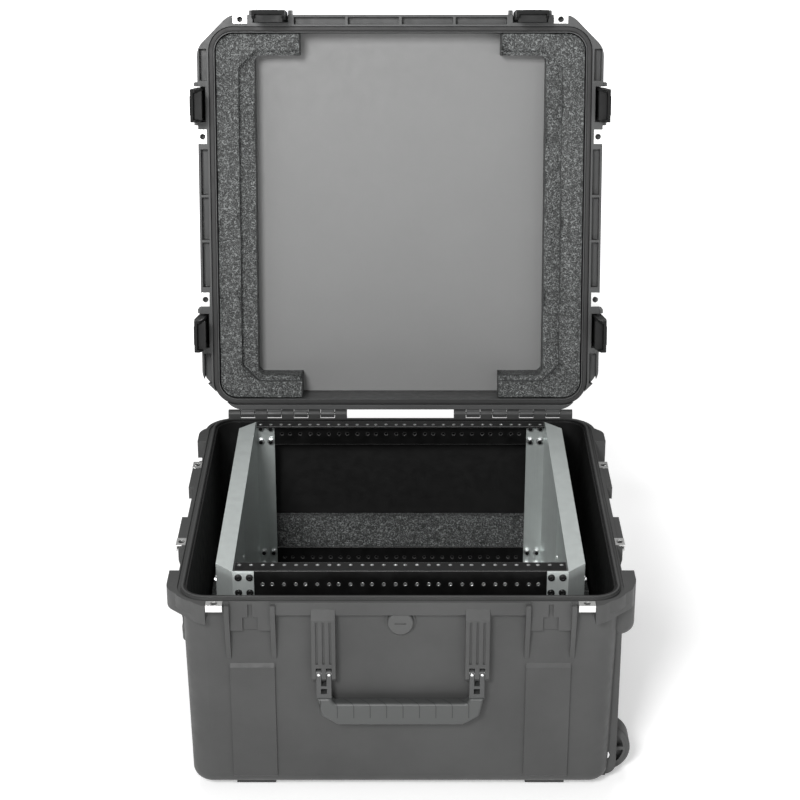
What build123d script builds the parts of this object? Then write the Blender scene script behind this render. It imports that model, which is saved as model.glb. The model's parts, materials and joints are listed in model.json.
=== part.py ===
from build123d import *
import math
import os

os.makedirs("parts", exist_ok=True)

# ---------------------------------------------------------------- driving sizes, mm
# Case: square in plan, parted at rim_z. Front is -Y, hinges are at +Y, floor is Z = 0.
foot_h = 12
rim_z = 306
case_half = 311.5          # outer faces of lid and corner blocks
flange_half = 303          # base rim flange between the corner blocks
rear_half = 301.5          # lid and base stop short of the hinge at the back
wall_top_half = 291.5
wall_low_half = 285.5
mouth_half = 285.0
mouth_r = 29
wall_t = 4.5
floor_t = 5
flange_t = 19
block_t = 28
corner_cut = 50            # 45 degree cut across each plan corner
corner_r = 30
lid_h = 75
lid_mouth_half = 284.5
lid_depth = lid_h - 10     # parting plane to the lid panel
panel_t = 1.5
lid_open_deg = 102.46

# rim seal
ridge_in, ridge_out, ridge_h = 287.6, 292.4, 3.2
groove_in, groove_out, groove_h = 293.4, 297.6, 3
seal_in, seal_out = 286.1, 293.9
seal_depth, gasket_t = 7, 3.4

# hinge: two runs of knuckles
hinge_y, hinge_z = 308.7, rim_z + 4.6
hinge_x0 = 84.5
knuckle_pitch = 42
base_knuckle_w, lid_knuckle_w = 19, 21.5
knuckle_r = 6.5
hinge_pin_r = 2.5

# clearances
run_fit = 0.05             # shaft in bore, on the radius
gap = 0.5                  # between bodies that pass each other

# rack: ten units of 44.45 between the frames, ears 465.1 apart
unit = 44.45
rack_units = 10
unit_holes = (6.35, 22.225, 38.1)
hole_gauge = 465.1
rack_hole_r = 2.4
cage_top = rim_z + 19
cage_h = 255
sheet = 2.5
frame_half = 248
frame_fold = 24
frame_front, frame_rear = -252.5, 242
ear_in = 195.5             # inner edge of the folded end flanges
rail_drop = 38
rail_lip = 7.5             # hole centre to inner edge of a rail
rail_row = 20              # hole row on the upright leg, below the corner
bolt_x = (201.2, 216.4)
bolt_drop = (8.5, 31)
bolt_r, bolt_hole_r = 2.8, 3.0
bolt_head_r, bolt_head_h = 4.9, 3.2
nut_r, nut_h = 4.6, 4.2
washer_r, washer_t = 5.4, 1.0

# side furniture: (turn about Z, places along the side)
FRONT, LEFT, RIGHT, REAR = 0, -90, 90, 180
latch_w = 49
bay_w = latch_w + 5        # room between ears or fins
plate_w, plate_t, plate_lip = 22, 2, 9.5
latch_x, side_latch_x = 198.5, 176
lock_x, side_lock_x = latch_x + (bay_w + plate_w) / 2 + 8.5, 126.5
latch_places = {"front_left": (FRONT, -latch_x), "front_right": (FRONT, latch_x),
                "left_front": (LEFT, side_latch_x), "left_rear": (LEFT, -side_latch_x),
                "right_front": (RIGHT, -side_latch_x), "right_rear": (RIGHT, side_latch_x)}
lock_places = [(turn, s * x) for turn, x in ((FRONT, lock_x), (LEFT, side_lock_x), (RIGHT, side_lock_x))
               for s in (-1, 1)]
handle_sides = {"front": FRONT, "left": LEFT, "right": RIGHT}

# latch
bay_floor = 299.5
latch_pin_o, latch_pin_z = 309, rim_z + 32
latch_pin_r = 2.0
latch_rest_deg = 3         # swung clear of the catch
catch_z = rim_z - 44
ear_t = 5.5
fin_t = 6.5
fin_room = {FRONT: 0, LEFT: 9, RIGHT: 9}    # the side latches swing past their fins as the lid shuts
trigger_o, trigger_z = 309, rim_z - 13
trigger_w = latch_w - 20.2
trigger_pin_r = 1.5

# lock plates
lock_hole_r, lock_hole_o = 4.4, 304.5

# pressure valve
valve_r, valve_z = 17.5, rim_z - 33.5

# bail handles
boss_x, boss_w, boss_o = 102, 32, 309
boss_low = rim_z - 119
prong_x, prong_w = (95.2, 108.8), 6.4
swing_o, swing_z = 303, rim_z - 106
handle_pin_r = 2.5
grip_z0, grip_z1 = rim_z - 183, rim_z - 149
sleeve_top = rim_z - 141
core_half = 96

# wheels
wheel_r = 37
hub_r, wheel_w = wheel_r - 6.5, 34
axle_x, axle_z = 282, wheel_r + 5
axle_r = 4
wheel_y = 223
well_w = 40
well_gap = 2.5
pillar_w = 70
pillar_low, pillar_top = 12, rim_z - 70
axle_head_r, axle_head_h, axle_sink = 7, 4, 5

# foam
foam_wall = rim_z - 156    # top of the wall cushions
foam_sheet = 12            # thickness against the wall
foam_under = 190           # inner edge of the pieces under the cage
foam_long, foam_short = 420, 340
foam_gap = 0.6
foam_end, foam_edge = 155, 283
# lid foam layers: start, thickness, hole half sizes, corner cut
foam_steps = ((6, 14.6, 249, 257.5, 26), (20.6, lid_depth - 20.6, 224.8, 249.2, 6))

# screws through the frame sides
stud_y = (-190, 185)
stud_z = (cage_top - 45, cage_top - cage_h + 50)
stud_r = 3

# rim pockets of the lid: side and (middle, length)
rim_pockets = [(FRONT, [(-123.5, 78), (-41.2, 78), (41.2, 78), (123.5, 78)]),
               (LEFT, [(-72, 70), (0, 66), (72, 70), (-236, 48), (236, 48)]),
               (RIGHT, [(-72, 70), (0, 66), (72, 70), (-236, 48), (236, 48)])]


def around(turn, x=0.0, o=0.0, z=0.0):
    """Place on a side of the case: x along it, o outward from the middle."""
    return Location((0, 0, 0), (0, 0, turn)) * Location((x, -o, z))


def section(turn, x):
    """Sketch plane across a side: local x is outward, local y is up."""
    spot = around(turn, x)
    outward = around(turn, 0, 1).position
    up = Vector(0, 0, 1)
    return Plane(origin=spot.position, x_dir=outward, z_dir=outward.cross(up))


def rounded(half, radius):
    RectangleRounded(2 * half, 2 * half, radius)


def ring(z0, height, outer, inner, mode):
    with BuildSketch(Plane.XY.offset(z0)) as loop:
        rounded(outer, mouth_r + outer - mouth_half)
        RectangleRounded(2 * inner, 2 * inner, mouth_r + inner - mouth_half, mode=Mode.SUBTRACT)
    extrude(loop.sketch, amount=height, mode=mode)


def widening(z0, z1, low, high, radius):
    """Rounded square that is low half wide at z0 and high at z1, with flat walls."""
    with BuildSketch(Plane.XY.offset(z0)) as foot:
        rounded(low, radius - (high - low))
    extrude(foot.sketch, amount=z1 - z0, taper=-math.degrees(math.atan((high - low) / (z1 - z0))))


def profile(turn, x, width, points, mode=Mode.ADD):
    with BuildSketch(section(turn, x)) as cut:
        Polygon(*points, align=None)
    extrude(cut.sketch, amount=width / 2, both=True, mode=mode)


def block(turn, x, width, o0, o1, z0, z1, mode=Mode.ADD):
    with Locations(around(turn, x, (o0 + o1) / 2, (z0 + z1) / 2)):
        Box(width, o1 - o0, z1 - z0, mode=mode)


def rod(turn, x, length, o, z, radius, mode=Mode.ADD):
    with Locations(around(turn, x, o, z)):
        Cylinder(radius, length, rotation=(0, 90, 0), mode=mode)


def plan_outline(half, rear):
    """Square outline with the four corners cut across."""
    c = half - corner_cut
    r = rear - corner_cut
    return [(-c, -half), (c, -half), (half, -c), (half, r), (c, rear), (-c, rear), (-half, r), (-half, -c)]


def save(shape, name):
    shape.label = name
    export_step(shape, f"parts/{name}.step")


hinge_axis = Axis((0, hinge_y, hinge_z), (1, 0, 0))


def opened(shape):
    return shape.rotate(hinge_axis, -lid_open_deg)


knuckle_spots = [s * (hinge_x0 + base_knuckle_w / 2 + k * knuckle_pitch) for s in (-1, 1) for k in range(5)]
lid_knuckle_spots = [s * (hinge_x0 + base_knuckle_w / 2 + (k + 0.5) * knuckle_pitch)
                     for s in (-1, 1) for k in range(4)]

# ---------------------------------------------------------------- base shell
with BuildPart() as cavity:
    widening(foot_h + floor_t, rim_z - flange_t, wall_low_half - wall_t, mouth_half, mouth_r)
    fillet(cavity.faces().sort_by(Axis.Z)[0].edges(), 14)
    with BuildSketch(Plane.XY.offset(rim_z - flange_t)):
        rounded(mouth_half, mouth_r)
    extrude(amount=flange_t + 1)

with BuildPart() as bumper:
    with BuildSketch(Plane.XY.offset(rim_z - 76)):
        with Locations((300, -229.5)):
            Rectangle(32, 65)
    extrude(amount=76)
    fillet(bumper.edges().filter_by(Axis.Z).group_by(Axis.X)[-1].sort_by(Axis.Y)[0], 24)
    fillet(bumper.faces().sort_by(Axis.Z)[0].edges().group_by(Axis.X)[-1], 14)

with BuildPart() as base_shell:
    widening(foot_h, rim_z, wall_low_half, wall_top_half, 34)
    fillet(base_shell.faces().sort_by(Axis.Z)[0].edges(), 18)
    # rim flange and corner blocks
    with BuildSketch(Plane.XY.offset(rim_z - flange_t)):
        with Locations((0, (rear_half - flange_half) / 2)):
            RectangleRounded(2 * flange_half, flange_half + rear_half, 46)
    extrude(amount=flange_t)
    with BuildSketch(Plane.XY.offset(rim_z - block_t)) as corner_plan:
        Polygon(*plan_outline(case_half + 1, rear_half), align=None)
        fillet(corner_plan.vertices(), corner_r)
        Rectangle(513, 700, mode=Mode.SUBTRACT)
        Rectangle(700, 406, mode=Mode.SUBTRACT)
    extrude(amount=block_t)
    add(bumper)
    mirror(bumper.part, about=Plane.XZ)
    # pillars that carry the wheels
    for s in (-1, 1):
        with BuildPart(mode=Mode.PRIVATE) as pillar:
            with Locations((286, s * wheel_y, (pillar_low + pillar_top) / 2)):
                Box(24, pillar_w, pillar_top - pillar_low)
            fillet(pillar.faces().sort_by(Axis.Z)[0].edges().group_by(Axis.X)[-1], 16)
        add(pillar)
    # bays and catches for the six latches
    for turn, x in latch_places.values():
        block(turn, x, bay_w + 2 * fin_room[turn], bay_floor, 330, rim_z - 78, rim_z, Mode.SUBTRACT)
        block(turn, x, bay_w, 284, bay_floor, catch_z, rim_z)
        for s in (-1, 1):
            profile(turn, x + s * ((bay_w + fin_t) / 2 + fin_room[turn]), fin_t,
                    [(285, rim_z - 3), (308, rim_z - 3), (308, rim_z - 22), (292, rim_z - 90), (285, rim_z - 90)])
        block(turn, x, 20, bay_floor - 4, bay_floor, catch_z, rim_z - 24, Mode.SUBTRACT)
        block(turn, x, 6, bay_floor - 4, bay_floor, rim_z - 24, rim_z - 5, Mode.SUBTRACT)
    # slots the lock plates sit in
    for turn, x in lock_places:
        block(turn, x, plate_w, 298.2, 330, rim_z - block_t - 1, rim_z, Mode.SUBTRACT)
    # handle bosses, ribbed, with slots for the prongs
    for turn in handle_sides.values():
        for s in (-1, 1):
            profile(turn, s * boss_x, boss_w,
                    [(284, rim_z - 5), (boss_o - 8, rim_z - 5), (boss_o, rim_z - 24), (boss_o, boss_low + 7),
                     (boss_o - 6, boss_low), (284, boss_low)])
            for rib in (-9, 0, 9):
                block(turn, s * boss_x + rib, 3, boss_o - 2.2, boss_o + 1, rim_z - 90, rim_z - 27, Mode.SUBTRACT)
            for p in prong_x:
                block(turn, s * p, prong_w + 2 * gap, swing_o - 7.5, boss_o + 9, boss_low - 1, swing_z + 10,
                      Mode.SUBTRACT)
            rod(turn, s * boss_x, boss_w - 4, swing_o, swing_z, handle_pin_r, Mode.SUBTRACT)
    # side pads, rim ledge over the valve, moulded bands, feet
    for turn in (LEFT, RIGHT):
        for s in (-1, 1):
            block(turn, s * 81.5, 65, 299, boss_o + 2, rim_z - flange_t, rim_z - 0.5)
    for turn in (FRONT, LEFT, REAR):
        for s in (-1, 1):
            profile(turn, s * 198, 60,
                    [(282, 24), (289.4, 30), (293, rim_z - 104), (288, rim_z - 96), (282, rim_z - 96)])
    with Locations((0, 0, foot_h), *[(x, y, foot_h) for x in (-199.5, 199.5) for y in (-240, 240)]):
        Box(54, 42, 2 * foot_h)
    with Locations(around(FRONT, 0, 290, valve_z)):
        Cylinder(valve_r + 3, 6, rotation=(90, 0, 0))
    # hollow it out
    add(cavity, mode=Mode.SUBTRACT)
    # wheel wells, closed towards the inside
    for s in (-1, 1):
        with BuildPart(mode=Mode.PRIVATE) as well:
            with Locations((axle_x, s * wheel_y, axle_z)):
                Cylinder(wheel_r + well_gap + 3, pillar_w, rotation=(90, 0, 0))
            with Locations((257, s * wheel_y, 60)):
                Box(54, pillar_w, 100, mode=Mode.INTERSECT)
        add(well)
        with Locations((axle_x, s * wheel_y, axle_z)):
            Cylinder(wheel_r + well_gap, well_w, rotation=(90, 0, 0), mode=Mode.SUBTRACT)
            Cylinder(axle_r, pillar_w - 10, rotation=(90, 0, 0), mode=Mode.SUBTRACT)
        with Locations((axle_x + 30, s * wheel_y, axle_z)):
            Box(60, well_w, 2 * (wheel_r + well_gap), mode=Mode.SUBTRACT)
        with Locations((axle_x, s * (wheel_y + pillar_w / 2 - axle_sink / 2), axle_z)):
            Cylinder(axle_head_r + gap, axle_sink, rotation=(90, 0, 0), mode=Mode.SUBTRACT)
    # tongue and outer groove of the seal
    ring(rim_z - 1, ridge_h + 1, ridge_out, ridge_in, Mode.ADD)
    ring(rim_z - groove_h, groove_h + 1, groove_out, groove_in, Mode.SUBTRACT)
    # hinge knuckles
    for x in knuckle_spots:
        rod(REAR, x, base_knuckle_w, hinge_y, hinge_z, knuckle_r)
        block(REAR, x, base_knuckle_w, rear_half + 0.7, hinge_y + knuckle_r, rim_z - 14, hinge_z)
        profile(REAR, x, base_knuckle_w, [(290, rim_z - 34), (hinge_y + knuckle_r, rim_z - 14),
                                          (hinge_y + knuckle_r, rim_z - 1), (290, rim_z - 1)])
    for x in knuckle_spots:
        rod(REAR, x, base_knuckle_w + 2, hinge_y, hinge_z, hinge_pin_r, Mode.SUBTRACT)
save(base_shell.part, "base_shell")

# ---------------------------------------------------------------- parts fixed in the base
with BuildPart() as base_lock_plates:
    for turn, x in lock_places:
        block(turn, x, plate_w, 298.2, case_half, rim_z - plate_t, rim_z - 0.2)
        block(turn, x, plate_w, case_half - plate_t, case_half, rim_z - plate_lip, rim_z - 0.2)
        with Locations(around(turn, x, lock_hole_o, rim_z)):
            Cylinder(lock_hole_r, 3 * plate_t, mode=Mode.SUBTRACT)
save(base_lock_plates.part, "base_lock_plates")

with BuildPart() as pressure_valve:
    with Locations(around(FRONT, 0, 293 + 3, valve_z)):
        Cylinder(valve_r, 6, rotation=(90, 0, 0))
    chamfer(pressure_valve.faces().sort_by(Axis.Y)[0].edges(), 1.5)
    with Locations(around(FRONT, 0, 299, valve_z)):
        Box(15, 2.4, 2.4, mode=Mode.SUBTRACT)
    block(FRONT, 0, 2 * valve_r, 290, 302, rim_z - flange_t - gap, rim_z, Mode.SUBTRACT)
save(pressure_valve.part, "pressure_valve")

with BuildPart() as hinge_pins:
    for s in (-1, 1):
        run = 4 * knuckle_pitch + base_knuckle_w
        rod(REAR, s * (hinge_x0 + run / 2), run, hinge_y, hinge_z, hinge_pin_r)
save(hinge_pins.part, "hinge_pins")

with BuildPart() as handle_pins:
    for turn in handle_sides.values():
        for s in (-1, 1):
            rod(turn, s * boss_x, boss_w - 4, swing_o, swing_z, handle_pin_r)
save(handle_pins.part, "handle_pins")

with BuildPart() as wheel_axles:
    for s in (-1, 1):
        with Locations((axle_x, s * wheel_y, axle_z)):
            Cylinder(axle_r, pillar_w - 10, rotation=(90, 0, 0))
        with Locations((axle_x, s * (wheel_y + pillar_w / 2 - axle_sink + axle_head_h / 2), axle_z)):
            Cylinder(axle_head_r, axle_head_h, rotation=(90, 0, 0))
        with Locations((axle_x, s * (wheel_y + pillar_w / 2 - axle_sink + axle_head_h), axle_z)):
            Cylinder(2.2, 3, rotation=(90, 0, 0), mode=Mode.SUBTRACT)
save(wheel_axles.part, "wheel_axles")

# ---------------------------------------------------------------- rack cage
hand = {"left": -1, "right": 1}
rail_rows = [(i - rack_units / 2) * unit + h for i in range(rack_units) for h in unit_holes]


def frame_plan():
    """Centre sheet of a side frame, outer face, right hand."""
    return [(ear_in, frame_front), (frame_half - frame_fold, frame_front),
            (frame_half, frame_front + frame_fold), (frame_half, frame_rear - frame_fold),
            (frame_half - frame_fold, frame_rear), (ear_in, frame_rear)]


for side, s in hand.items():
    with BuildPart() as rack_side:
        with BuildSketch(Plane.XY.offset(cage_top - cage_h)):
            with BuildLine():
                path = Polyline(*[(s * x, y) for x, y in frame_plan()])
                inner = offset(path, amount=sheet, side=Side.LEFT if s > 0 else Side.RIGHT, closed=True)
            make_face()
        extrude(amount=cage_h)
        for z in (cage_top - cage_h, cage_top - sheet):
            with BuildSketch(Plane.XY.offset(z)):
                Polygon(*[(s * x, y) for x, y in frame_plan()[1:5]], align=None)
            extrude(amount=sheet)
        for y in (frame_front + sheet / 2, frame_rear - sheet / 2):
            for drop in bolt_drop:
                for z in (cage_top - drop, cage_top - cage_h + drop):
                    with Locations([(s * x, y, z) for x in bolt_x]):
                        Cylinder(bolt_hole_r, 2 * sheet, rotation=(90, 0, 0), mode=Mode.SUBTRACT)
        # the rear rails lap over the ends of the rear flanges
        ear_w = frame_half - frame_fold - ear_in
        with Locations([(s * (ear_in + ear_w / 2 - gap), frame_rear, z)
                        for z in (cage_top - sheet / 2, cage_top - cage_h + sheet / 2)]):
            Box(ear_w - gap, 4 * sheet, sheet, mode=Mode.SUBTRACT)
        with Locations([(s * (frame_half - sheet / 2), y, z) for y in stud_y for z in stud_z]):
            Cylinder(stud_r, 2 * sheet, rotation=(0, 90, 0), mode=Mode.SUBTRACT)
    save(rack_side.part, f"rack_side_{side}")

for end in ("front", "rear"):
    toward = -1 if end == "front" else 1
    leg_in = frame_front + sheet if end == "front" else frame_rear
    leg_mid = leg_in + sheet / 2
    outer = leg_in if end == "front" else leg_in + sheet
    lip = toward * (hole_gauge / 2 - rail_lip)
    for level, up in (("top", 1), ("bottom", -1)):
        corner = cage_top if up > 0 else cage_top - cage_h
        with BuildPart() as rail:
            with Locations((0, (outer + lip) / 2, corner - up * sheet / 2)):
                Box(rack_units * unit, abs(outer - lip), sheet)
            with Locations((0, leg_mid, corner - up * rail_drop / 2)):
                Box(rack_units * unit, sheet, rail_drop)
            with Locations([(x, toward * hole_gauge / 2, corner) for x in rail_rows]):
                Cylinder(rack_hole_r, 3 * sheet, mode=Mode.SUBTRACT)
            with Locations([(x, leg_mid, corner - up * rail_row) for x in rail_rows[2:-2]]):
                Cylinder(rack_hole_r, 3 * sheet, rotation=(90, 0, 0), mode=Mode.SUBTRACT)
            for s in (-1, 1):
                with Locations([(s * x, leg_mid, corner - up * d) for x in bolt_x for d in bolt_drop]):
                    Cylinder(bolt_hole_r, 3 * sheet, rotation=(90, 0, 0), mode=Mode.SUBTRACT)
        save(rail.part, f"rack_rail_{end}_{level}")

bolt_spots = [(s * x, z) for s in (-1, 1) for x in bolt_x for d in bolt_drop
              for z in (cage_top - d, cage_top - cage_h + d)]
# outer and inner faces of the bolted pair of sheets at each end
grips = [(frame_front, frame_front + 2 * sheet, -1), (frame_rear + sheet, frame_rear - sheet, 1)]

with BuildPart() as rack_bolts:
    for y_head, y_nut, out in grips:
        length = 2 * sheet + nut_h + washer_t + 1.5
        with Locations([(x, y_head - out * length / 2, z) for x, z in bolt_spots]):
            Cylinder(bolt_r, length, rotation=(90, 0, 0))
        with BuildPart(mode=Mode.PRIVATE) as head:
            Cylinder(bolt_head_r, bolt_head_h)
            fillet(head.faces().sort_by(Axis.Z)[-1].edges(), 2)
            with Locations((0, 0, bolt_head_h / 2)):
                Cylinder(1.8, 3, mode=Mode.SUBTRACT)
        with Locations([Location((x, y_head + out * bolt_head_h / 2, z), (-90 * out, 0, 0)) for x, z in bolt_spots]):
            add(head)
save(rack_bolts.part, "rack_bolts")

with BuildPart() as rack_nuts:
    for y_head, y_nut, out in grips:
        turn = 90 * out
        for height, away, sides in ((washer_t, 0, 0), (nut_h, washer_t, 6)):
            with BuildPart(mode=Mode.PRIVATE) as bit:
                with BuildSketch():
                    if sides:
                        RegularPolygon(nut_r, sides)
                    else:
                        Circle(washer_r)
                    Circle(bolt_hole_r - 0.05, mode=Mode.SUBTRACT)
                extrude(amount=height)
            with Locations([Location((x, y_nut - out * away, z), (turn, 0, 0)) for x, z in bolt_spots]):
                add(bit)
save(rack_nuts.part, "rack_nuts")

with BuildPart() as frame_studs:
    for s in (-1, 1):
        with Locations([(s * (frame_half + 1), y, z) for y in stud_y for z in stud_z]):
            Cylinder(stud_r, 2 * sheet + 6, rotation=(0, 90, 0))
        with Locations([(s * (frame_half + 2), y, z) for y in stud_y for z in stud_z]):
            Cylinder(7, 4, rotation=(0, 90, 0))
save(frame_studs.part, "frame_studs")

# ---------------------------------------------------------------- cushions under and round the cage
floor_z = foot_h + floor_t
cage_low = cage_top - cage_h
foam_out = wall_low_half - wall_t - 1.5
cushions = {"front": (FRONT, foam_long), "rear": (REAR, foam_long),
            "left": (LEFT, foam_short), "right": (RIGHT, foam_short)}
for side, (turn, length) in cushions.items():
    with BuildPart() as cushion:
        profile(turn, 0, length,
                [(foam_under, floor_z + 0.2), (foam_out - 12, floor_z + 0.2), (foam_out, floor_z + 14),
                 (foam_out, foam_wall), (foam_out - foam_sheet, foam_wall),
                 (foam_out - foam_sheet, cage_low - foam_gap), (foam_under, cage_low - foam_gap)])
    save(cushion.part, f"base_foam_{side}")

# ---------------------------------------------------------------- lid, drawn shut, then swung open
with BuildPart() as lid_shell:
    with BuildSketch(Plane.XY.offset(rim_z)) as foot:
        Polygon(*plan_outline(case_half, rear_half), align=None)
        fillet(foot.vertices(), corner_r)
    with BuildSketch(Plane.XY.offset(rim_z + lid_h)) as crown:
        Polygon(*plan_outline(case_half - 4, rear_half - 4), align=None)
        fillet(crown.vertices(), corner_r)
    loft()
    fillet(lid_shell.faces().sort_by(Axis.Z)[-1].edges(), 8)
    with BuildSketch(Plane.XY.offset(rim_z - 1)):
        rounded(lid_mouth_half, mouth_r)
    extrude(amount=lid_depth + panel_t + 1, mode=Mode.SUBTRACT)
    ring(rim_z - 1, seal_depth + 1, seal_out, seal_in, Mode.SUBTRACT)
    # hollow pockets round the rim between cross ribs
    for turn, spots in rim_pockets:
        for x, width in spots:
            block(turn, x, width, 297, 308, rim_z - 1, rim_z + 16, Mode.SUBTRACT)
    # raised pads on the outside of the lid
    with BuildSketch(Plane.XY.offset(rim_z + lid_h)):
        for x in (-190, 0, 190):
            with Locations((x, -5)):
                RectangleRounded(150, 520, 18)
    extrude(amount=4)
    # latch bays and ears
    for turn, x in latch_places.values():
        block(turn, x, bay_w, bay_floor, 330, rim_z - 1, rim_z + 46, Mode.SUBTRACT)
        for s in (-1, 1):
            profile(turn, x + s * (bay_w + ear_t) / 2, ear_t,
                    [(298, rim_z + 2), (315, rim_z + 2), (318, rim_z + 8), (318, rim_z + 40), (310, rim_z + 50),
                     (298, rim_z + 50)])
        rod(turn, x, bay_w + 2 * ear_t + 2, latch_pin_o, latch_pin_z, latch_pin_r, Mode.SUBTRACT)
    for turn, x in lock_places:
        block(turn, x, plate_w, 298.2, 330, rim_z - 1, rim_z + 18, Mode.SUBTRACT)
    # lid knuckles
    for x in lid_knuckle_spots:
        rod(REAR, x, lid_knuckle_w, hinge_y, hinge_z, knuckle_r)
        block(REAR, x, lid_knuckle_w, rear_half - 3, hinge_y, hinge_z - 4, hinge_z + 10)
    for x in lid_knuckle_spots:
        rod(REAR, x, lid_knuckle_w + 2, hinge_y, hinge_z, hinge_pin_r + run_fit, Mode.SUBTRACT)
save(opened(lid_shell.part), "lid_shell")

with BuildPart() as lid_gasket:
    ring(rim_z + seal_depth - gasket_t, gasket_t, seal_out - 0.1, seal_in + 0.1, Mode.ADD)
save(opened(lid_gasket.part), "lid_gasket")

with BuildPart() as lid_panel:
    with BuildSketch(Plane.XY.offset(rim_z + lid_depth)):
        rounded(lid_mouth_half - 2, mouth_r - 2)
    extrude(amount=panel_t)
save(opened(lid_panel.part), "lid_panel")

with BuildPart() as lid_lock_plates:
    for turn, x in lock_places:
        block(turn, x, plate_w, 298.2, case_half, rim_z + 0.2, rim_z + plate_t)
        block(turn, x, plate_w, case_half - plate_t, case_half, rim_z + 0.2, rim_z + plate_lip)
        with Locations(around(turn, x, lock_hole_o, rim_z)):
            Cylinder(lock_hole_r, 3 * plate_t, mode=Mode.SUBTRACT)
save(opened(lid_lock_plates.part), "lid_lock_plates")

with BuildPart() as latch_pins:
    for turn, x in latch_places.values():
        rod(turn, x, bay_w + 2 * ear_t, latch_pin_o, latch_pin_z, latch_pin_r)
save(opened(latch_pins.part), "latch_pins")

# lid cushions: the deep step lies on the cage, the proud band goes round it
for side, s in hand.items():
    with BuildPart() as lid_foam:
        for z, deep, hole_x, hole_y, cut in foam_steps:
            with BuildSketch(Plane.XY.offset(rim_z + z)):
                with Locations((s * (foam_end + foam_edge) / 2, 0)):
                    Rectangle(foam_edge - foam_end, 2 * foam_edge)
                Polygon(*[(s * x, y) for x, y in [(0, -hole_y), (hole_x - cut, -hole_y), (hole_x, -hole_y + cut),
                                                  (hole_x, hole_y - cut), (hole_x - cut, hole_y), (0, hole_y)]],
                        align=None, mode=Mode.SUBTRACT)
            extrude(amount=deep)
        fillet(lid_foam.edges().filter_by(Axis.Z).group_by(Axis.X)[-1 if s > 0 else 0], mouth_r - 2)
    save(opened(lid_foam.part), f"lid_foam_{side}")

# ---------------------------------------------------------------- latches, shut at x = 0 on the front
with BuildPart() as latch:
    skin = [(309.5, rim_z + 38), (313.5, rim_z + 36), (315, rim_z + 10), (315, rim_z - 40), (312.5, rim_z - 60),
            (308, rim_z - 62), (308, rim_z - 57), (311, rim_z - 40), (311, rim_z + 20)]
    cheek = [(303.5, rim_z + 38), (313.5, rim_z + 36), (315, rim_z + 10), (315, rim_z - 40), (312.5, rim_z - 60),
             (305, rim_z - 62), (301.5, rim_z - 52), (301.5, rim_z + 22)]
    profile(FRONT, 0, latch_w, skin)
    for s in (-1, 1):
        profile(FRONT, s * (latch_w - 4) / 2, 4, cheek)
    rod(FRONT, 0, latch_w, latch_pin_o, latch_pin_z, 6)
    block(FRONT, 0, latch_w - 6, 296.3, 308, catch_z - 6.5, catch_z - 0.6)
    block(FRONT, 0, trigger_w + 1.2, 309.5, 317, rim_z - 52, rim_z - 8, Mode.SUBTRACT)
    rod(FRONT, 0, latch_w - 6, trigger_o, trigger_z, trigger_pin_r)
    rod(FRONT, 0, latch_w + 2, latch_pin_o, latch_pin_z, latch_pin_r + run_fit, Mode.SUBTRACT)

with BuildPart() as trigger:
    profile(FRONT, 0, trigger_w, [(309, rim_z - 9.5), (312.5, rim_z - 9.5), (314.7, rim_z - 14), (314.7, rim_z - 50),
                                  (311.3, rim_z - 50.5), (311.3, rim_z - 18)])
    rod(FRONT, 0, trigger_w, trigger_o, trigger_z, 3.2)
    for z in (-34, -39, -44):
        block(FRONT, 0, trigger_w - 8, 314.1, 316, rim_z + z, rim_z + z + 2, Mode.SUBTRACT)
    rod(FRONT, 0, trigger_w + 2, trigger_o, trigger_z, trigger_pin_r + run_fit, Mode.SUBTRACT)

latch_axis = Axis((0, -latch_pin_o, latch_pin_z), (1, 0, 0))
for name, (turn, x) in latch_places.items():
    for kind, source in (("latch", latch.part), ("trigger", trigger.part)):
        eased = source.rotate(latch_axis, -latch_rest_deg)
        save(opened(around(turn, x) * eased), f"{kind}_{name}")

# ---------------------------------------------------------------- bail handles
def handle_core(mode=Mode.ADD):
    """The bar and the two uprights that the rubber sleeve is moulded on."""
    block(FRONT, 0, 2 * core_half, 299, 307.5, grip_z0 + 8, grip_z1 - 6, mode)
    for s in (-1, 1):
        block(FRONT, s * (core_half + 4), 8, 299, 307.5, grip_z0 + 15, sleeve_top, mode)


with BuildPart() as handle:
    for s in (-1, 1):
        for p in prong_x:
            profile(FRONT, s * p, prong_w, [(swing_o - 6, swing_z), (swing_o + 6, swing_z), (309.5, swing_z - 18),
                                            (309.5, swing_z - 20), (297, swing_z - 20), (297, swing_z - 12)])
            rod(FRONT, s * p, prong_w, swing_o, swing_z, 6)
        block(FRONT, s * boss_x, 20, 297, 309.5, sleeve_top, swing_z - 17)
        block(FRONT, s * boss_x, 8, 296, 310, swing_z - 29, swing_z - 21, Mode.SUBTRACT)
    handle_core()
    for s in (-1, 1):
        rod(FRONT, s * boss_x, boss_w, swing_o, swing_z, handle_pin_r + run_fit, Mode.SUBTRACT)

with BuildPart() as grip:
    with BuildSketch(Plane.XZ.offset(294.5)) as sleeve:
        half = [(84, grip_z0), (106, grip_z0 + 14), (boss_x + 10, sleeve_top), (boss_x - 10, sleeve_top),
                (boss_x - 10, grip_z1)]
        Polygon(*half, *[(-x, z) for x, z in reversed(half)], align=None)
        fillet([v for v in sleeve.vertices() if abs(v.Y - grip_z1) < 1], 7)
        fillet([v for v in sleeve.vertices() if v.Y < grip_z0 + 15], 8)
    extrude(sleeve.sketch, amount=17)
    fillet(grip.faces().sort_by(Axis.Y)[0].edges() + grip.faces().sort_by(Axis.Y)[-1].edges(), 5)
    handle_core(Mode.SUBTRACT)

for side, turn in handle_sides.items():
    save(around(turn) * handle.part, f"handle_{side}")
    save(around(turn) * grip.part, f"handle_grip_{side}")

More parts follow.
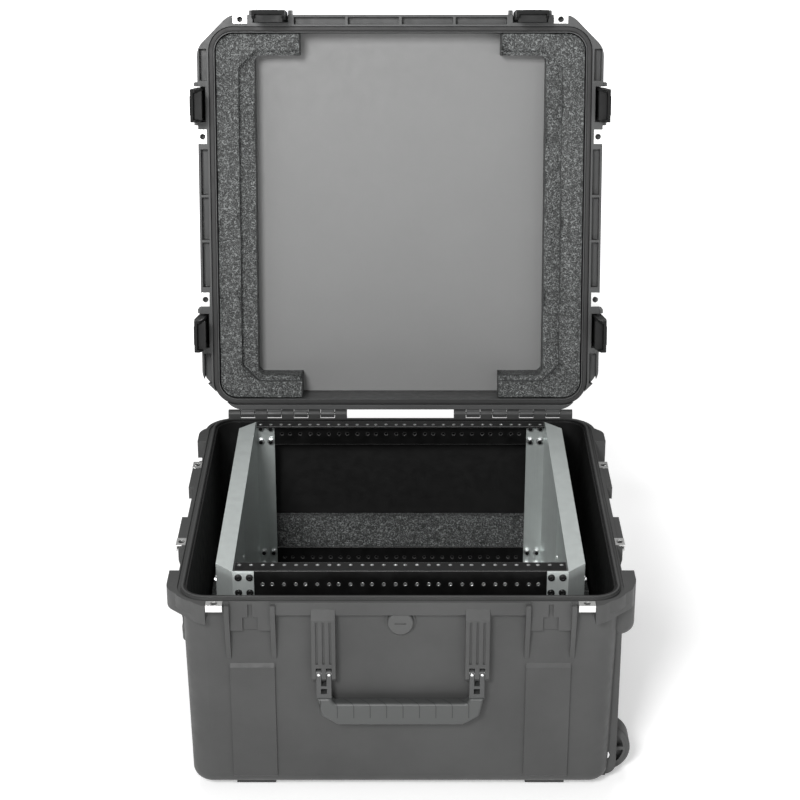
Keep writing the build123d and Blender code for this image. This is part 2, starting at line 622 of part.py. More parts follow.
# ---------------------------------------------------------------- wheels
with BuildPart() as hub:
    Cylinder(hub_r, wheel_w)
    for face in (-1, 1):
        with Locations((0, 0, face * wheel_w / 2)):
            Cylinder(hub_r - 3, 16, mode=Mode.SUBTRACT)
            Cylinder(10, 16)
            with PolarLocations(0, 6):
                with Locations((hub_r / 2 + 2, 0, 0)):
                    Box(hub_r - 6.5, 5, 12)
    with Locations((0, 0, wheel_w)):
        Box(100, 100, wheel_w, mode=Mode.SUBTRACT)
    with Locations((0, 0, -wheel_w)):
        Box(100, 100, wheel_w, mode=Mode.SUBTRACT)
    Cylinder(axle_r + run_fit, 2 * wheel_w, mode=Mode.SUBTRACT)

with BuildPart() as tyre:
    Cylinder(wheel_r, wheel_w)
    fillet(tyre.edges(), 3)
    Cylinder(hub_r, 2 * wheel_w, mode=Mode.SUBTRACT)

for side, s in (("front", -1), ("rear", 1)):
    spot = Location((axle_x, s * wheel_y, axle_z), (90, 0, 0))
    save(spot * hub.part, f"wheel_hub_{side}")
    save(spot * tyre.part, f"wheel_tyre_{side}")
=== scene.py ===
# %% [markdown]
# ## A wheeled equipment case with a shock-mounted rack
# The case is moulded in dark grey plastic, and its rack cage is folded from zinc-plated sheet.
# Every hard part comes from the CAD model, already in its place and with its real size in metres.
# This lesson gives those parts their finishes, and makes what CAD is poor at: cut foam, rubber,
# springs and small bright fittings. Sizes are taken from the frame, so nothing is fitted by eye.

import json
import math

import bmesh
import bpy
from mathutils import Matrix, Vector, noise

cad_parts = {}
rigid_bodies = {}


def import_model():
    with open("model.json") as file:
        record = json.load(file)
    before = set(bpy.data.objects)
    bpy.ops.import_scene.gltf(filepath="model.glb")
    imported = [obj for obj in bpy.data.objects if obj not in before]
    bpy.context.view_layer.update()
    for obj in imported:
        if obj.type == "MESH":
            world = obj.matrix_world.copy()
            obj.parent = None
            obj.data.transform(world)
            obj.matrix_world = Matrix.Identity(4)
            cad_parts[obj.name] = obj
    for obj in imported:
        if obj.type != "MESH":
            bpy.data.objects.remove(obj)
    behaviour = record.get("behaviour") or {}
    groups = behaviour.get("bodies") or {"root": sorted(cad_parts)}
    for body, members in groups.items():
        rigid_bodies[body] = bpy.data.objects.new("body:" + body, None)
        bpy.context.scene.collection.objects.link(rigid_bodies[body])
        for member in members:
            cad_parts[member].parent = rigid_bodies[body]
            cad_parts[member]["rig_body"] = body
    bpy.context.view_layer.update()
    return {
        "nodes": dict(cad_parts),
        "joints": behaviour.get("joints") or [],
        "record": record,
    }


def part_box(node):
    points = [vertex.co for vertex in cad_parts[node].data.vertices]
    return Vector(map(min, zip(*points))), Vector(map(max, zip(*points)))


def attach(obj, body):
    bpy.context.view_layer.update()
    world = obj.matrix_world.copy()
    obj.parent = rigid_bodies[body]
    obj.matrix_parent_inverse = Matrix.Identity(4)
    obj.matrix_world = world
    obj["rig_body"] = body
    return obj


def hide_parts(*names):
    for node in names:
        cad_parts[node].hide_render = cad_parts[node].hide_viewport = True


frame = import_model()
record = frame["record"]
joint_of = {joint["name"]: joint for joint in frame["joints"]}

# %% [markdown]
# ## The view
# A product picture is taken from a little above, with a long lens so that the sides stay nearly
# parallel. A 94 mm lens two and a half metres away does that. The camera looks straight along the
# middle of the case and tips down, so no lens shift is needed.

# %% Camera
rim_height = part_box("base_lock_plates")[1].z

lens = bpy.data.cameras.new("product_lens")
lens.sensor_width = 36
lens.lens = 93.7
lens.clip_end = 60
camera = bpy.data.objects.new("product_camera", lens)
camera.location = (-0.0006, -2.7104, rim_height + 1.32)
camera.rotation_euler = (math.radians(90 - 23.17), 0, 0)
bpy.context.scene.collection.objects.link(camera)
bpy.context.scene.camera = camera
print("camera", round(-camera.location.y, 2), "m in front,", round(camera.location.z, 2), "m up")

# %% [markdown]
# ## Helpers for materials
# A material is a small graph of nodes. Two helpers keep the recipes below readable: one adds a
# node and fills in its values, the other joins an output to an input by name.
# Positions come from Object coordinates, which are metres here, so a grain of 0.7 mm is 0.7 mm on
# every part, and it stays on the part when the part moves.


# %% Node helpers
def start_material(name):
    material = bpy.data.materials.new(name)
    material.use_nodes = True
    material.node_tree.nodes.clear()
    shader = add(material, "ShaderNodeBsdfPrincipled")
    output = add(material, "ShaderNodeOutputMaterial")
    join(material, shader, "BSDF", output, "Surface")
    return material, shader


def add(material, kind, settings=None, **values):
    made = material.node_tree.nodes.new(kind)
    for setting, value in (settings or {}).items():
        setattr(made, setting, value)
    for socket, value in values.items():
        made.inputs[socket.replace("_", " ")].default_value = value
    return made


def join(material, source, output, target, socket):
    sockets = target.inputs
    material.node_tree.links.new(source.outputs[output], sockets[socket])


def place_in_metres(material, stretch=(1, 1, 1)):
    coordinates = add(material, "ShaderNodeTexCoord")
    if stretch == (1, 1, 1):
        return coordinates, "Object"
    mapping = add(material, "ShaderNodeMapping", Scale=stretch)
    join(material, coordinates, "Object", mapping, "Vector")
    return mapping, "Vector"


def grain(material, size, stretch=(1, 1, 1), detail=2.0):
    """Soft noise whose lumps are about this size, in metres."""
    where = place_in_metres(material, stretch)
    made = add(material, "ShaderNodeTexNoise", Scale=1 / size, Detail=detail, Roughness=0.55)
    join(material, *where, made, "Vector")
    return made


def ramp(material, source, output, low, high, to_low=0.0, to_high=1.0):
    made = add(material, "ShaderNodeMapRange", From_Min=low, From_Max=high, To_Min=to_low, To_Max=to_high)
    join(material, source, output, made, "Value")
    return made


def tint(material, fac, first, second):
    """Mix of two colours, or of a colour and another mix, by the factor node (node, output)."""
    made = add(material, "ShaderNodeMix", {"data_type": "RGBA"})
    join(material, *fac, made, 0)
    for socket, value in ((6, first), (7, second)):
        if isinstance(value, tuple):
            made.inputs[socket].default_value = (*value, 1)
        else:
            join(material, value, 2, made, socket)
    return made


def bump(material, source, output, height, under=None):
    made = add(material, "ShaderNodeBump", Strength=1.0, Distance=height)
    join(material, source, output, made, "Height")
    if under:
        join(material, under, "Normal", made, "Normal")
    return made


def soft_edges(material, radius):
    """Rounds off the sharp edges of a CAD part in the shading, and finds where they are."""
    rounded = add(material, "ShaderNodeBevel", {"samples": 4}, Radius=radius)
    flat = add(material, "ShaderNodeNewGeometry")
    together = add(material, "ShaderNodeVectorMath", {"operation": "DOT_PRODUCT"})
    join(material, rounded, "Normal", together, 0)
    join(material, flat, "Normal", together, 1)
    return rounded, ramp(material, together, "Value", 0.995, 0.86)


def calc(material, operation, *values):
    """One sum on numbers, each a plain value or a (node, output) pair."""
    made = add(material, "ShaderNodeMath", {"operation": operation})
    for index, value in enumerate(values):
        if isinstance(value, tuple):
            join(material, *value, made, index)
        else:
            made.inputs[index].default_value = value
    return made, "Value"


def axes(material):
    """The three Object coordinates, in metres, as (node, output) pairs."""
    split = add(material, "ShaderNodeSeparateXYZ")
    join(material, *place_in_metres(material), split, "Vector")
    return [(split, letter) for letter in "XYZ"]


print("helpers ready")

# %% [markdown]
# ## Moulded plastic
# The inside of the base is painted much darker than its outside: painted shade in the cavity.
# The mould is spark-eroded, which leaves a fine pebble on the plastic. It hides knocks, and it is
# why the case looks matt although the plastic itself shines. Edges are handled most, so they are a
# little lighter and smoother, and broad faces vary slightly where the melt cooled at its own pace.
# The pebble is far too fine to model, so it is bump: a soft noise of about 0.7 mm.


# %% Moulded plastic recipe
# These sizes say where the painted shade of the cavity goes.
wall_lean = 0.0207        # outward drift of the wall per metre of height
wall_middle = 0.2830      # middle of the wall at the bottom, from the centre
corner_middle_r = 0.0315  # plan radius of that middle line at the corners
floor_middle = 0.0145
floor_half = 0.262        # the floor inside the curve of the bottom edge
bottom_curve = 0.032      # height at which that curve has ended

def cavity_shade_region(material):
    """One on the cavity walls and floor of the base, where the painted shade goes, nought elsewhere. The
    walls lean out a little.
    """
    x, y, z = axes(material)
    x, y = calc(material, "ABSOLUTE", x), calc(material, "ABSOLUTE", y)
    flat_half = calc(material, "MULTIPLY_ADD", z, wall_lean, wall_middle - corner_middle_r)
    past = [calc(material, "MAXIMUM", calc(material, "SUBTRACT", reach, flat_half), 0.0) for reach in (x, y)]
    squares = [calc(material, "MULTIPLY", value, value) for value in past]
    from_corner = calc(material, "SQRT", calc(material, "ADD", *squares))
    in_walls = calc(material, "MULTIPLY", calc(material, "LESS_THAN", from_corner, corner_middle_r),
                    calc(material, "GREATER_THAN", z, bottom_curve))
    near_middle = calc(material, "LESS_THAN", calc(material, "MAXIMUM", x, y), floor_half)
    on_floor = calc(material, "MULTIPLY", near_middle, calc(material, "GREATER_THAN", z, floor_middle))
    return calc(material, "MAXIMUM", in_walls, on_floor)


def moulded(name, colour, roughness, pebble=0.0007, depth=0.00005, edge=0.0012, worn=1.5, mottle=0.12,
            inside=None, ior=1.49):
    material, shader = start_material(name)
    rounded, edges = soft_edges(material, edge)
    fine = grain(material, pebble)
    broad = grain(material, 0.11, detail=3)
    patches = grain(material, 0.012, detail=4)
    cloud = ramp(material, broad, "Fac", 0.35, 0.65)
    darker = tuple(c * (1 - mottle) for c in colour)
    lighter = tuple(c * (1 + mottle) for c in colour)
    body = tint(material, (cloud, "Result"), darker, lighter)
    speck = ramp(material, fine, "Fac", 0.35, 0.7, 0, 0.35)
    flecked = tint(material, (speck, "Result"), body, tuple(c * 1.35 for c in colour))
    chafed = add(material, "ShaderNodeMath", {"operation": "MULTIPLY"})
    join(material, edges, "Result", chafed, 0)
    join(material, ramp(material, patches, "Fac", 0.42, 0.62, 0.15, 0.8), "Result", chafed, 1)
    handled_and_shaded = tint(material, (chafed, "Value"), flecked, tuple(min(1, c * worn) for c in colour))
    # Painted shade: the cavity walls and floor of the base are turned nearly black.
    if inside:
        handled_and_shaded = tint(material, cavity_shade_region(material), handled_and_shaded, inside)
    join(material, handled_and_shaded, 2, shader, "Base Color")
    rubbed = ramp(material, patches, "Fac", 0.3, 0.7, roughness - 0.06, roughness + 0.07)
    join(material, rubbed, "Result", shader, "Roughness")
    join(material, bump(material, fine, "Fac", depth, rounded), "Normal", shader, "Normal")
    shader.inputs["IOR"].default_value = ior
    return material


# %% Plastics of this case
plastics = {
    # The shell's cavity gets near-black painted shade.
    "shell": moulded("shell_plastic", (0.050, 0.0505, 0.050), 0.50,
                      inside=(0.006, 0.006, 0.006), ior=1.40),
    "lid": moulded("lid_plastic", (0.049, 0.050, 0.050), 0.44),
    "latch": moulded("latch_nylon", (0.008, 0.0082, 0.0082), 0.52,
                     depth=0.00002, edge=0.0008, ior=1.34),
    "trigger": moulded("trigger_nylon", (0.008, 0.0082, 0.0082), 0.52,
                       depth=0.00002, edge=0.0008, ior=1.34),
    "handle": moulded("handle_nylon", (0.046, 0.047, 0.047), 0.44, edge=0.0010),
    "valve": moulded("valve_plastic", (0.056, 0.057, 0.056), 0.45, depth=0.00003, edge=0.0006),
    "hub": moulded("hub_plastic", (0.050, 0.0505, 0.050), 0.38, depth=0.00002, edge=0.0008),
    "panel": moulded("panel_sheet", (0.186, 0.187, 0.186), 0.46, pebble=0.0004, depth=0.000015, edge=0.0003,
                     worn=1.05, mottle=0.02),
}
print("plastics:", ", ".join(plastics))

# %% [markdown]
# ## Zinc-plated sheet and bright fittings
# Rolled sheet keeps faint streaks along the rolling direction, and the plating adds a cloudy,
# slightly green-blue cast. Both live in the roughness more than in the colour, because on metal
# the reflection is the colour. The noise is stretched along the height of the folded sides.


# %% Metal recipe
def plated(name, colour, roughness, streak=(1, 1, 1), cloud_size=0.03, edge=0.0006,
           cloudy=0.12, depth=0.000008, metal=1.0):
    material, shader = start_material(name)
    rounded, edges = soft_edges(material, edge)
    drawn = grain(material, 0.0012, streak, detail=3)
    clouds = grain(material, cloud_size, detail=4)
    dull = tuple(c * (1 - cloudy) for c in colour)
    bloom = ramp(material, clouds, "Fac", 0.35, 0.65)
    body = tint(material, (bloom, "Result"), dull, colour)
    lines = ramp(material, drawn, "Fac", 0.3, 0.7, 0, 0.35)
    streaked = tint(material, (lines, "Result"), body, tuple(c * 0.82 for c in colour))
    # Painted highlight: the edges are a quarter brighter, as light caught on folds and cut edges.
    bright = tint(material, (edges, "Result"), streaked, tuple(min(1, c * 1.25) for c in colour))
    join(material, bright, 2, shader, "Base Color")
    satin = ramp(material, clouds, "Fac", 0.3, 0.7, roughness - 0.02, roughness + 0.03)
    join(material, satin, "Result", shader, "Roughness")
    join(material, bump(material, drawn, "Fac", depth, rounded), "Normal", shader, "Normal")
    shader.inputs["Metallic"].default_value = metal
    return material


# %% Metals of this case
metals = {
    "zinc": plated("zinc_plated_sheet", (0.68, 0.725, 0.71), 0.42, streak=(1, 1, 0.03),
                   cloud_size=0.012, cloudy=0.04, metal=0.7),
    "plate": plated("padlock_plate_steel", (0.80, 0.80, 0.79), 0.36, cloud_size=0.006, cloudy=0.05),
    "pin": plated("pin_steel", (0.90, 0.90, 0.90), 0.26, cloud_size=0.004, edge=0.0003, cloudy=0.05),
    "nut": plated("zinc_plated_nut", (0.86, 0.87, 0.87), 0.30, cloud_size=0.004, edge=0.0004, cloudy=0.05),
}
print("metals:", ", ".join(metals))

# %% [markdown]
# ## Black powder coat
# The rails and bolts are coated black. Powder coat flows into a faint orange peel before it sets,
# so it gets a soft bump of about 1.5 mm, and a gloss that is sharper than that of the plastic.
# Their edges take a lighter colour: a little wear, and mostly a painted highlight along the bends.


# %% Powder coat recipe
def powder_coat(name, colour, roughness, bend, worn):
    material, shader = start_material(name)
    rounded, edges = soft_edges(material, bend)
    peel = grain(material, 0.0014, detail=1)
    dust = grain(material, 0.02, detail=4)
    dusted = ramp(material, dust, "Fac", 0.4, 0.7)
    film = tint(material, (dusted, "Result"), colour, tuple(c * 1.5 for c in colour))
    # The edge colour is partly wear and mostly a painted highlight along the rolled bends of the rails.
    rubbed = tint(material, (edges, "Result"), film, worn)
    join(material, rubbed, 2, shader, "Base Color")
    sheen = ramp(material, dust, "Fac", 0.3, 0.7, roughness - 0.05, roughness + 0.08)
    join(material, sheen, "Result", shader, "Roughness")
    join(material, bump(material, peel, "Fac", 0.00003, rounded), "Normal", shader, "Normal")
    shader.inputs["IOR"].default_value = 1.36
    return material


coats = {
    # The last colour of each is its edge colour, mostly a painted highlight.
    "rail": powder_coat("rail_powder_coat", (0.003, 0.003, 0.003), 0.34, 0.0016, (0.16, 0.16, 0.16)),
    "black_bolt": powder_coat("bolt_black_oxide", (0.006, 0.006, 0.006), 0.28, 0.0006, (0.05, 0.05, 0.05)),
}
print("coats:", ", ".join(coats))

# %% [markdown]
# ## Rubber and tyre
# Rubber is duller than plastic and has no pebble of its own. A fine dusting of lighter bloom keeps
# it from looking like a black hole.


# %% Rubber recipe
def finger_cuts(material, above, pitch, width):
    """Thin cuts across the grips, painted as dark lines of painted shade. X + Y runs along a grip whichever
    side it is on.
    """
    x, y, z = axes(material)
    along = calc(material, "PINGPONG", calc(material, "ADD", x, y), pitch)
    line = calc(material, "LESS_THAN", along, width)
    return calc(material, "MULTIPLY", line, calc(material, "GREATER_THAN", z, above))


def rubber(name, colour, roughness, grain_size=0.0009, mottle=1.4, cuts=None):
    material, shader = start_material(name)
    rounded, edges = soft_edges(material, 0.0010)
    fine = grain(material, grain_size)
    bloom = grain(material, 0.018, detail=4)
    bloomed = ramp(material, bloom, "Fac", 0.4, 0.7)
    dusty = tint(material, (bloomed, "Result"), colour, tuple(c * mottle for c in colour))
    scuffed_and_shaded = tint(material, (edges, "Result"), dusty, tuple(c * 1.6 for c in colour))
    # Painted shade: the finger cuts are thin dark lines in the colour; the shape has no groove.
    if cuts:
        scuffed_and_shaded = tint(material, finger_cuts(material, *cuts), scuffed_and_shaded, tuple(c * 0.3 for c in colour))
    join(material, scuffed_and_shaded, 2, shader, "Base Color")
    matt = ramp(material, bloom, "Fac", 0.3, 0.7, roughness - 0.05, roughness + 0.08)
    join(material, matt, "Result", shader, "Roughness")
    join(material, bump(material, fine, "Fac", 0.00003, rounded), "Normal", shader, "Normal")
    return material


rubbers = {
    "gasket": rubber("seal_rubber", (0.016, 0.016, 0.016), 0.55),
    "grip": rubber("grip_rubber", (0.056, 0.0585, 0.0575), 0.40, mottle=1.06,
                   cuts=(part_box("handle_grip_front")[0].z + 0.012, 0.011, 0.0006)),
    "tyre": rubber("tyre_rubber", (0.048, 0.0485, 0.048), 0.60),
}
print("rubbers:", ", ".join(rubbers))

# %% [markdown]
# ## Cut foam
# The cushions are cut from closed-cell polyethylene plank. A hot wire or saw opens the cells, so
# the face is a carpet of little cups two or three millimetres across. Cell rims catch the light
# and the cups are dark, which is the salt-and-pepper look of the real thing. Both are painted into
# the colour: a painted highlight on the rims, and painted shade in the cups.
# Voronoi cells give the cups. Two sizes are mixed, because real cells are never all alike.


# %% Foam recipe
def cut_foam(name, colour):
    material, shader = start_material(name)
    where = place_in_metres(material)
    cups = []
    for cell in (0.0030, 0.0019):
        made = add(material, "ShaderNodeTexVoronoi", {"feature": "F1"}, Scale=1 / cell, Randomness=1.0)
        join(material, *where, made, "Vector")
        cups.append(made)
    uneven = grain(material, 0.005, detail=4)
    pepper = ramp(material, cups[0], "Distance", 0.25, 0.70)
    salt = ramp(material, cups[1], "Distance", 0.45, 0.80, 0, 0.9)
    # Painted shade in the cups: they fall to a fifth of the colour, and the rims rise a little.
    rim = tint(material, (pepper, "Result"), tuple(c * 0.22 for c in colour), tuple(c * 1.25 for c in colour))
    # Painted highlight: where the small cells' rims are, the colour rises to five times.
    sparkle = tint(material, (salt, "Result"), rim, tuple(min(1, c * 5.0) for c in colour))
    shade = tint(material, (ramp(material, uneven, "Fac", 0.42, 0.62, 0, 0.75), "Result"), sparkle,
                 tuple(c * 0.30 for c in colour))
    join(material, shade, 2, shader, "Base Color")
    shader.inputs["Roughness"].default_value = 0.62
    deep = bump(material, cups[0], "Distance", 0.0009)
    join(material, bump(material, cups[1], "Distance", 0.0006, deep), "Normal", shader, "Normal")
    return material


foam = cut_foam("cut_polyethylene_foam", (0.051, 0.0535, 0.053))
print("foam:", foam.name)

# %% [markdown]
# ## Finishes go on the frame
# The record names a material slot for every node, so the CAD parts can all be finished in one
# loop. Their shapes are left alone.

# %% Give the CAD nodes their finish
finishes = {**plastics, **metals, **coats, **rubbers, "foam": foam}
slot_of = {part["node"]: part["material_slot"] for part in record["subparts"]}


def wear(piece, material):
    piece.data.materials.clear()
    piece.data.materials.append(material)


for name, piece in frame["nodes"].items():
    wear(piece, finishes[slot_of[name]])
print("finished:", len(slot_of), "nodes")

# %% [markdown]
# ## Cushions
# The foam solids in the frame have the right size and place, but their edges are razor sharp and
# their faces dead flat, which foam never is. Each one is copied, its flat faces are put back
# together, its edges are eased by 2 mm, and then it is divided so that the whole piece can wander
# by a fraction of a millimetre, as a sawn plank does. The copy stands in for the solid.

# %% Foam helper
foam_edge = 0.0022
foam_cell = 0.018
foam_wander = 0.0007


def cleaned(mesh_source):
    """A bmesh of a CAD mesh with its split corners joined and its flat faces whole again."""
    shape = bmesh.new()
    shape.from_mesh(mesh_source)
    bmesh.ops.remove_doubles(shape, verts=shape.verts, dist=1e-6)
    bmesh.ops.dissolve_limit(shape, angle_limit=math.radians(1), verts=shape.verts, edges=shape.edges)
    return shape


def ease_edges(shape, width, steps, sharper_than=30):
    edges = [e for e in shape.edges if len(e.link_faces) == 2
             and e.calc_face_angle(0) > math.radians(sharper_than)]
    bmesh.ops.bevel(shape, geom=edges, offset=width, segments=steps, profile=0.6, affect="EDGES",
                    clamp_overlap=True)


def new_piece(name, shape, material, body, slot=None):
    mesh = bpy.data.meshes.new(name)
    shape.to_mesh(mesh)
    shape.free()
    piece = bpy.data.objects.new(name, mesh)
    bpy.context.scene.collection.objects.link(piece)
    for face in mesh.polygons:
        face.use_smooth = True
    mesh.materials.append(material)
    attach(piece, body)
    return piece


def ring_of(shape, centre, to_place, radius, height, sides):
    """A ring of vertices round `centre`, in the plane that `to_place` turns it to."""
    return [shape.verts.new(centre + to_place @ Vector((
        radius * math.cos(2 * math.pi * side / sides),
        radius * math.sin(2 * math.pi * side / sides), height))) for side in range(sides)]


def wrap(shape, rings):
    """Four-sided faces between each ring and the next."""
    for first, second in zip(rings, rings[1:]):
        sides = len(first)
        for a in range(sides):
            b = (a + 1) % sides
            shape.faces.new((first[a], first[b], second[b], second[a]))


def cap(shape, rings):
    """Closes the first and the last ring."""
    shape.faces.new(reversed(rings[0]))
    shape.faces.new(rings[-1])


def body_holding(node):
    return frame["nodes"][node]["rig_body"]


def cushion(node):
    shape = cleaned(frame["nodes"][node].data)
    bmesh.ops.triangulate(shape, faces=shape.faces)
    long_edges = True
    while long_edges:
        long_edges = [e for e in shape.edges if e.calc_length() > foam_cell]
        bmesh.ops.bisect_edges(shape, edges=long_edges, cuts=1)
        bmesh.ops.triangulate(shape, faces=[f for f in shape.faces if len(f.verts) > 3])
    ease_edges(shape, foam_edge, 2)
    bmesh.ops.recalc_face_normals(shape, faces=shape.faces)
    shape.normal_update()
    for vertex in shape.verts:
        drift = noise.noise(vertex.co * 22) - 0.35
        vertex.co += vertex.normal * foam_wander * min(drift, 0)
    piece = new_piece(node + "_cut", shape, foam, body_holding(node), "foam")
    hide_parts(node)
    return piece


# %% Make the cushions
cushions = [cushion(node) for node, slot in slot_of.items() if slot == "foam"]
print("cushions:", len(cushions), "with", sum(len(c.data.polygons) for c in cushions), "faces")

# %% [markdown]
# ## The seal
# A round-cornered rubber cord lies in the channel of the lid and is squeezed by the ridge of the
# base. The frame holds it as a flat ring, so its copy has its edges rolled over into a bead.

# %% Seal bead
bead = cleaned(frame["nodes"]["lid_gasket"].data)
ease_edges(bead, 0.0014, 3)
seal = new_piece("lid_seal_bead", bead, rubbers["gasket"], body_holding("lid_gasket"), "gasket")
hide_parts("lid_gasket")
print("seal bead:", len(seal.data.polygons), "faces")

# %% [markdown]
# ## Threads in the rails
# Every hole of a rack rail takes a machine screw. The coat is cleared from the thread, so each hole
# shows as a bright ring. The legs of the rear rails are only clearance holes, so they stay black.
# The holes are found in the rails themselves: a hole's rim is a closed loop of short edges between
# the flat face and the wall of the hole.


# %% Find round holes
longest_chord = 0.003     # of the short edges round a hole
largest_hole_r = 0.004

def holes_facing(node, facing):
    """(centre, radius) of the round holes that open on the outermost face along `facing`."""
    shape = bmesh.new()
    shape.from_mesh(frame["nodes"][node].data)
    bmesh.ops.remove_doubles(shape, verts=shape.verts, dist=1e-6)
    shape.normal_update()
    outermost = max(v.co.dot(facing) for v in shape.verts)
    rim = {}
    for edge in shape.edges:
        flat = [f for f in edge.link_faces if f.normal.dot(facing) > 0.99]
        wall = [f for f in edge.link_faces if abs(f.normal.dot(facing)) < 0.1]
        if flat and wall and edge.calc_length() < longest_chord:
            if edge.verts[0].co.dot(facing) > outermost - 1e-4:
                for vertex, other in (edge.verts, reversed(edge.verts)):
                    rim.setdefault(vertex, []).append(other)
    found = []
    while rim:
        loop = [next(iter(rim))]
        for vertex in loop:
            loop += [v for v in rim.pop(vertex) if v in rim and v not in loop]
        centre = sum((v.co for v in loop), Vector()) / len(loop)
        reaches = [(v.co - centre).length for v in loop]
        if len(loop) > 5 and max(reaches) < largest_hole_r and max(reaches) < 1.1 * min(reaches):
            found.append((centre.copy(), max(reaches)))
    shape.free()
    return found


# %% Threaded rings
thread_depth = 0.0024
thread_bore = 0.62        # of the hole's radius
thread_ridge = 0.12       # height of a ridge, of the hole's radius
thread_outside = 0.99     # the sleeve just clears the hole
turns = 5


def threaded_ring(shape, centre, radius, facing, sides=20):
    """A sleeve that fills the hole; its bore is a stack of small ridges, as a thread is."""
    to_place = facing.to_track_quat("Z", "Y").to_matrix()
    outline = [(radius * thread_outside, 0.0), (radius * thread_outside, -thread_depth)]
    for turn in range(turns, -1, -1):
        outline.append((radius * (thread_bore + thread_ridge * (turn % 2)), -thread_depth * turn / turns))
    rings = [ring_of(shape, centre, to_place, r, z, sides) for r, z in outline]
    wrap(shape, rings + rings[:1])


rails = [node for node in frame["nodes"] if node.startswith("rack_rail_")]
for rail in rails:
    threads = bmesh.new()
    up = 1 if rail.endswith("top") else -1
    count = 0
    sides_threaded = [Vector((0, 0, up))]
    if "front" in rail:
        sides_threaded.append(Vector((0, -1, 0)))
    for facing in sides_threaded:
        for centre, radius in holes_facing(rail, facing):
            threaded_ring(threads, centre, radius, facing)
            count += 1
    bmesh.ops.recalc_face_normals(threads, faces=threads.faces)
    new_piece(rail + "_threads", threads, metals["nut"], body_holding(rail), slot_of["rack_nuts"])
    print(rail, "has", count, "threaded holes")

# %% [markdown]
# ## Springs in the latches
# A small coil on each side of the trigger pushes it back against the catch. The coils are wound on
# the trigger's own pin, so the place and direction of the joint in the frame say where they go.

# %% Springs
wire_r = 0.00045
coil_r = 0.0025
coils = 4.5
coil_length = 0.0046
trigger_half = 0.0152     # from the middle of the latch to where a coil starts
leg_length = 0.009
steps_per_turn = 14


def tube(shape, points, radius, sides=7):
    """A round wire through the points."""
    rings = []
    for index, point in enumerate(points):
        ahead = points[min(index + 1, len(points) - 1)] - points[max(index - 1, 0)]
        rings.append(ring_of(shape, point, ahead.to_track_quat("Z", "Y").to_matrix(), radius, 0, sides))
    wrap(shape, rings)
    cap(shape, rings)


def coil(shape, middle, along, inward):
    """One spring that starts beside the trigger and ends in a straight leg on the latch."""
    across = along.cross(inward).normalized()
    steps = int(coils * steps_per_turn)
    points = []
    for step in range(steps + 1):
        part = step / steps
        angle = 2 * math.pi * coils * part
        radial = inward * math.cos(angle) + across * math.sin(angle)
        points.append(middle + along * (trigger_half + coil_length * part) + radial * coil_r)
    leave = (points[-1] - points[-2]).normalized()
    flat = (leave - along * leave.dot(along)).normalized()
    points.append(points[-1] + flat * leg_length)
    tube(shape, points, wire_r)


for name, joint in joint_of.items():
    if name.startswith("trigger_"):
        latch = name.replace("trigger_", "latch_").replace("_pivot", "")
        middle = Vector(joint["pos_m"])
        along = Vector(joint["axis"]).normalized()
        low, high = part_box(latch)
        inward = (Vector((low + high) / 2) - middle).normalized()
        springs = bmesh.new()
        for way in (-1, 1):
            coil(springs, middle, along * way, inward)
        new_piece(latch + "_springs", springs, metals["pin"], body_holding(latch), slot_of["latch_pins"])
print("springs:", 2 * sum(name.startswith("trigger_") for name in joint_of))

# %% [markdown]
# ## Rivets of the handles
# The eye of each prong carries a bright domed rivet. The eyes are the parts of a handle that stand
# above its hinge, and their ends along the hinge give the middle of each prong.

# %% Rivets
rivet_r = 0.0023
rivet_rise = 0.0012
rivet_sunk = 0.0002       # how far its foot is pressed into the eye
eye_r = 0.0060


def domed_rivet(shape, place, outward, rows=4, sides=20):
    to_place = outward.to_track_quat("Z", "Y").to_matrix()
    rings = []
    for row in range(rows + 1):
        tilt = math.pi / 2 * row / (rows + 1)
        radius, height = rivet_r * math.cos(tilt), rivet_rise * math.sin(tilt)
        rings.append(ring_of(shape, place, to_place, radius, height, sides))
    wrap(shape, rings)
    cap(shape, rings)


for name, joint in joint_of.items():
    if name.startswith("handle_"):
        handle = name.replace("_swing", "")
        pivot = Vector(joint["pos_m"])
        along = Vector([abs(v) for v in joint["axis"]])
        outward = Vector((pivot.x, pivot.y, 0))
        outward = (outward - along * outward.dot(along)).normalized()
        ends = sorted({round(v.co.dot(along), 4) for v in frame["nodes"][handle].data.vertices
                       if v.co.z > pivot.z + 0.002})
        rivets = bmesh.new()
        for first, second in zip(ends[::2], ends[1::2]):
            eye = pivot + along * ((first + second) / 2 - pivot.dot(along))
            domed_rivet(rivets, eye + outward * (eye_r - rivet_sunk), outward)
        new_piece(handle + "_rivets", rivets, metals["pin"], body_holding(handle), slot_of["handle_pins"])
        print(handle, "has", len(ends) // 2, "rivets")

# %% [markdown]
# ## Floor and light
# The case stands on white paper, which glows more the farther off it is, so that the background
# stays white without lighting the case too much from below. The key light is a soft box of 0.8 m
# beside the camera, a little to its left and above it, and it leaves short soft shadows. A weak
# box on the right fills them, and a long one behind and above brightens what faces upward.

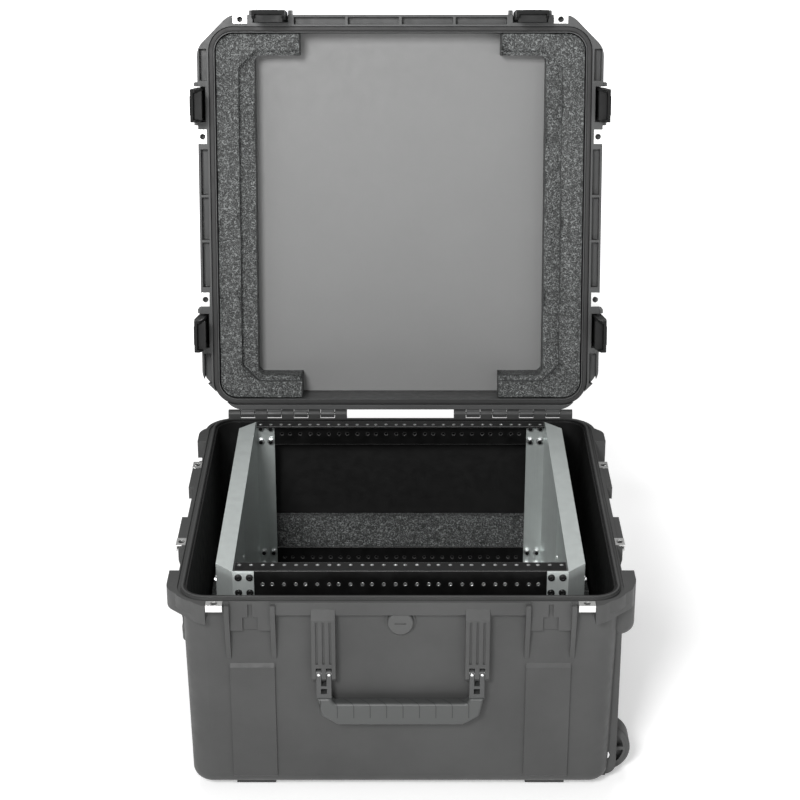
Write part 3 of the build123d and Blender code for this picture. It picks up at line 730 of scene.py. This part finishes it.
# %% Floor
floor_mesh = bmesh.new()
bmesh.ops.create_grid(floor_mesh, x_segments=8, y_segments=8, size=30)
floor_data = bpy.data.meshes.new("studio_floor")
floor_mesh.to_mesh(floor_data)
floor_mesh.free()
floor = bpy.data.objects.new("studio_floor", floor_data)
bpy.context.scene.collection.objects.link(floor)
paper, paper_shader = start_material("white_paper")
fibres = grain(paper, 0.4)
whites = tint(paper, (ramp(paper, fibres, "Fac", 0.3, 0.7), "Result"), (0.90, 0.90, 0.90), (0.93, 0.93, 0.93))
join(paper, whites, 2, paper_shader, "Base Color")
paper_shader.inputs["Roughness"].default_value = 0.9
paper_shader.inputs["Emission Color"].default_value = (1, 1, 1, 1)
x, y, z = axes(paper)
far = calc(paper, "SQRT", calc(paper, "ADD", calc(paper, "MULTIPLY", x, x), calc(paper, "MULTIPLY", y, y)))
glow = ramp(paper, *far, 0.8, 3.0, 0.34, 1.3)
join(paper, glow, "Result", paper_shader, "Emission Strength")
floor_data.materials.append(paper)
print("floor ready")


# %% Lights
def soft_box(name, place, aim, size, watts, colour=(1, 1, 1)):
    light = bpy.data.lights.new(name, "AREA")
    light.shape = "RECTANGLE"
    light.size, light.size_y = size
    light.energy = watts
    light.color = colour
    lamp = bpy.data.objects.new(name, light)
    lamp.location = place
    lamp.rotation_euler = (Vector(aim) - Vector(place)).to_track_quat("-Z", "Y").to_euler()
    bpy.context.scene.collection.objects.link(lamp)
    return lamp


soft_box("key_light", (-0.85, -3.3, 2.5), (0, 0, 0.45), (0.8, 0.8), 122)
soft_box("fill_light", (0.9, -3.4, 1.7), (0, 0, 0.4), (1.6, 1.6), 16)
soft_box("top_light", (-0.2, 1.1, 3.3), (0, 0, 0.3), (2.4, 1.4), 50)

world = bpy.data.worlds.new("studio_room")
bpy.context.scene.world = world
world.use_nodes = True
world_nodes = world.node_tree.nodes
surroundings = world_nodes["Background"]
surroundings.inputs["Color"].default_value = (1, 1, 1, 1)
surroundings.inputs["Strength"].default_value = 0.24
bpy.context.scene.view_settings.view_transform = "Standard"
